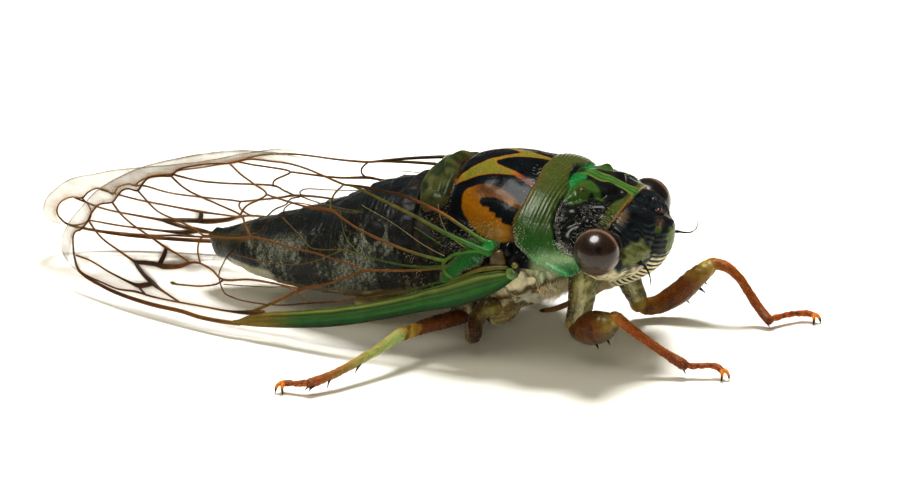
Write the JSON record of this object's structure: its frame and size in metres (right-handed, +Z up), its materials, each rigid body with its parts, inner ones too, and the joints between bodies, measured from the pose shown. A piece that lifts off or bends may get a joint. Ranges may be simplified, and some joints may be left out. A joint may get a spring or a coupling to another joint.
{
  "type": "cicada",
  "caption": "Life-size dog-day cicada standing on its feet with its clear, veined wings folded like a roof over a black and green body.",
  "frame": {"origin": "middle of the model's footprint, on the floor under its feet", "axes": "+X along the body towards the head, +Y towards the animal's left side, +Z up"},
  "size_m": [0.0428, 0.027, 0.0097],
  "materials": {
    "eye": "glossy grey-brown facetted eye with a paler rim",
    "head": "shiny black cuticle with fine ridges, green patches and pale down",
    "face": "shiny black ribbed face with green marks and a whitish bloom",
    "pronotum": "green and black shield with an olive collar of fine wrinkles",
    "mesonotum": "glossy black with orange-brown patches and an olive cross",
    "metanotum": "dark cuticle with silvery hairs",
    "thorax": "pale waxy underside with cream hairs",
    "abdomen": "black rings with silver-grey hairs",
    "abdomen_tip": "bluish-green black, shiny",
    "timbal_cover": "dark dull plate",
    "operculum": "pale waxy flap",
    "antenna": "dark brown to black",
    "rostrum": "brown with a dark tip",
    "forewing": "clear membrane with green to dark brown veins",
    "hindwing": "clear membrane with thin brown veins",
    "leg_coxa": "olive brown, with a grey underside",
    "leg_femur": "orange-brown with green edges and black spines",
    "leg_shank": "red-orange shank and foot with black claw tips"
  },
  "bodies": {
    "root": {"abdomen": "abdomen", "abdomen_tip": "abdomen_tip", "antenna_left": "antenna", "antenna_right": "antenna", "eye_left": "eye", "eye_right": "eye", "face": "face", "forewing_left": "forewing", "forewing_right": "forewing", "head": "head", "hindwing_left": "hindwing", "hindwing_right": "hindwing", "leg_front_left_coxa": "leg_coxa", "leg_front_left_femur": "leg_femur", "leg_front_left_shank": "leg_shank", "leg_front_right_coxa": "leg_coxa", "leg_front_right_femur": "leg_femur", "leg_front_right_shank": "leg_shank", "leg_hind_left_coxa": "leg_coxa", "leg_hind_left_femur": "leg_femur", "leg_hind_left_shank": "leg_shank", "leg_hind_right_coxa": "leg_coxa", "leg_hind_right_femur": "leg_femur", "leg_hind_right_shank": "leg_shank", "leg_middle_left_coxa": "leg_coxa", "leg_middle_left_femur": "leg_femur", "leg_middle_left_shank": "leg_shank", "leg_middle_right_coxa": "leg_coxa", "leg_middle_right_femur": "leg_femur", "leg_middle_right_shank": "leg_shank", "mesonotum": "mesonotum", "metanotum": "metanotum", "operculum_left": "operculum", "operculum_right": "operculum", "pronotum": "pronotum", "rostrum": "rostrum", "thorax": "thorax", "timbal_cover_left": "timbal_cover", "timbal_cover_right": "timbal_cover"}
  },
  "joints": []
}
